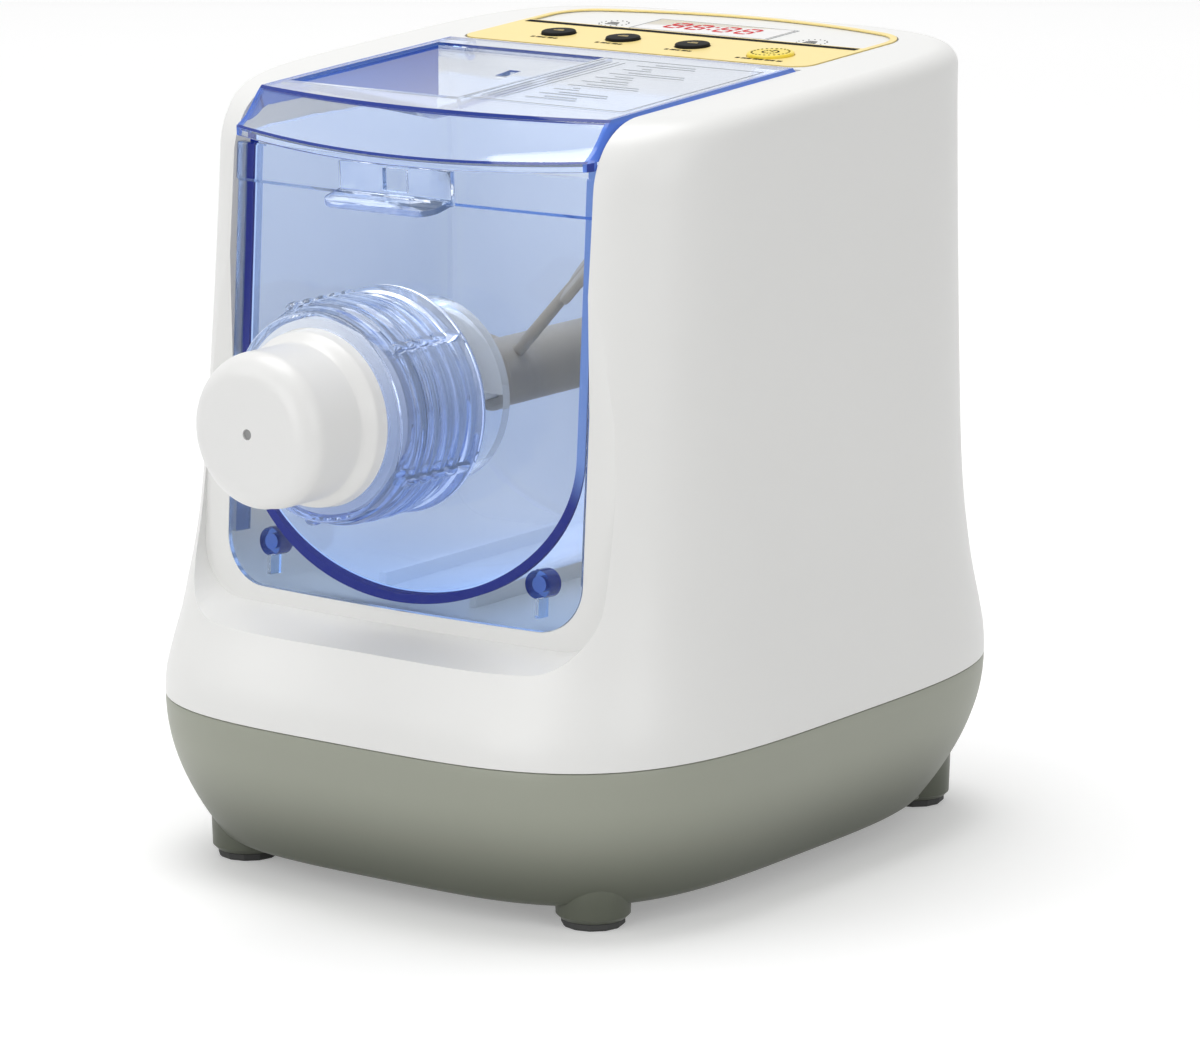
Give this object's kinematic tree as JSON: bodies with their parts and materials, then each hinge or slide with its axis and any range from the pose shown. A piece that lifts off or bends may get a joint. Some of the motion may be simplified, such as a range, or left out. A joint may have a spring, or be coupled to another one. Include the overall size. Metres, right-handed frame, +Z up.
{
  "type": "electric pasta maker",
  "caption": "Countertop electric pasta maker with clear mixing trough, hinged lid, top controls, feed screw, geared drive and an extruding die held by a ring nut.",
  "frame": {"origin": "bottom centre of the bounding box, on the surface it stands on", "axes": "+Z up, the nozzle points along -Y, +X to the right when seen from behind the nozzle looking at it"},
  "size_m": [0.246, 0.3388, 0.2962],
  "materials": {
    "white_plastic": "satin moulded",
    "sage_plastic": "satin moulded grey-green",
    "clear_blue_plastic": "clear, slightly blue polycarbonate",
    "navy_seal": "matte silicone",
    "die_plastic": "smooth white acetal",
    "yellow_film": "printed film",
    "black_plastic": "satin",
    "display_window": "smooth",
    "circuit_board": "solder mask",
    "steel": "turned",
    "rubber": "matte",
    "gear_nylon": "natural nylon",
    "paddle_plastic": "smooth taupe",
    "dark_module": "dull"
  },
  "bodies": {
    "machine": {"main_housing": "white_plastic", "base_shell": "sage_plastic", "front_plate": "clear_blue_plastic", "mixing_trough": "clear_blue_plastic", "trough_seal": "navy_seal", "shaft_seal": "rubber", "idler_axle": "steel", "gearbox_housing": "dark_module", "gearbox_cover": "dark_module", "front_bearing": "steel", "rear_bearing": "steel", "cover_screw_right": "steel", "cover_screw_left": "steel", "cover_screw_bottom": "steel", "motor_housing": "steel", "hinge_pin_left": "steel", "hinge_pin_right": "steel", "control_panel": "white_plastic", "panel_film": "yellow_film", "display_window": "display_window", "display_module": "dark_module", "control_board": "circuit_board", "power_board": "circuit_board", "power_inlet": "black_plastic", "lid_switch": "black_plastic", "case_screw_front_left": "steel", "case_screw_front_right": "steel", "case_screw_rear_left": "steel", "case_screw_rear_right": "steel", "foot_pad_front_left": "rubber", "foot_pad_front_right": "rubber", "foot_pad_rear_left": "rubber", "foot_pad_rear_right": "rubber"},
    "lid": {"lid": "clear_blue_plastic", "lid_catch": "clear_blue_plastic"},
    "button_left": {"button_left": "black_plastic"},
    "button_middle": {"button_middle": "black_plastic"},
    "button_right": {"button_right": "black_plastic"},
    "power_button": {"power_button": "yellow_film"},
    "mixer": {"output_shaft": "steel", "output_gear": "gear_nylon", "feed_screw": "die_plastic", "mixing_paddle": "paddle_plastic"},
    "idler": {"idler_gear": "gear_nylon"},
    "rotor": {"motor_shaft": "steel", "motor_pinion": "steel", "cooling_fan": "black_plastic"},
    "die": {"die_cup": "die_plastic"},
    "nut": {"ring_nut": "clear_blue_plastic"}
  },
  "joints": [
    {"name": "lid_hinge", "type": "hinge", "parent": "machine", "child": "lid", "pos_m": [0, 0.04409, 0.28688], "axis": [-1, 0, 0], "range_deg": [0, 95]},
    {"name": "button_left_press", "type": "slide", "parent": "machine", "child": "button_left", "axis": [0, 0.0529, -0.9986], "range_m": [0, 0.0008], "stiffness_N_per_m": 300, "springref_m": -0.001},
    {"name": "button_middle_press", "type": "slide", "parent": "machine", "child": "button_middle", "axis": [0, 0.0529, -0.9986], "range_m": [0, 0.0008], "stiffness_N_per_m": 300, "springref_m": -0.001},
    {"name": "button_right_press", "type": "slide", "parent": "machine", "child": "button_right", "axis": [0, 0.0529, -0.9986], "range_m": [0, 0.0008], "stiffness_N_per_m": 300, "springref_m": -0.001},
    {"name": "power_button_press", "type": "slide", "parent": "machine", "child": "power_button", "axis": [0, 0.0529, -0.9986], "range_m": [0, 0.0008], "stiffness_N_per_m": 300, "springref_m": -0.001},
    {"name": "mixer_spin", "type": "hinge", "parent": "machine", "child": "mixer", "pos_m": [0, 0, 0.1826], "axis": [0, 1, 0], "continuous": true},
    {"name": "idler_spin", "type": "hinge", "parent": "machine", "child": "idler", "pos_m": [0, 0, 0.12635], "axis": [0, 1, 0], "continuous": true},
    {"name": "rotor_spin", "type": "hinge", "parent": "machine", "child": "rotor", "pos_m": [0, 0, 0.0701], "axis": [0, 1, 0], "continuous": true},
    {"name": "die_draw", "type": "slide", "parent": "machine", "child": "die", "axis": [0, -1, 0], "range_m": [0, 0.0141]},
    {"name": "nut_turn", "type": "hinge", "parent": "die", "child": "nut", "pos_m": [0, 0, 0.1826], "axis": [0, -1, 0], "range_deg": [0, 840]}
  ],
  "couplings": [
    {"joint": "idler_spin", "follows": "mixer_spin", "ratio": -4},
    {"joint": "rotor_spin", "follows": "mixer_spin", "ratio": 16},
    {"joint": "die_draw", "follows": "nut_turn", "m_per_rad": 0.00095493}
  ]
}
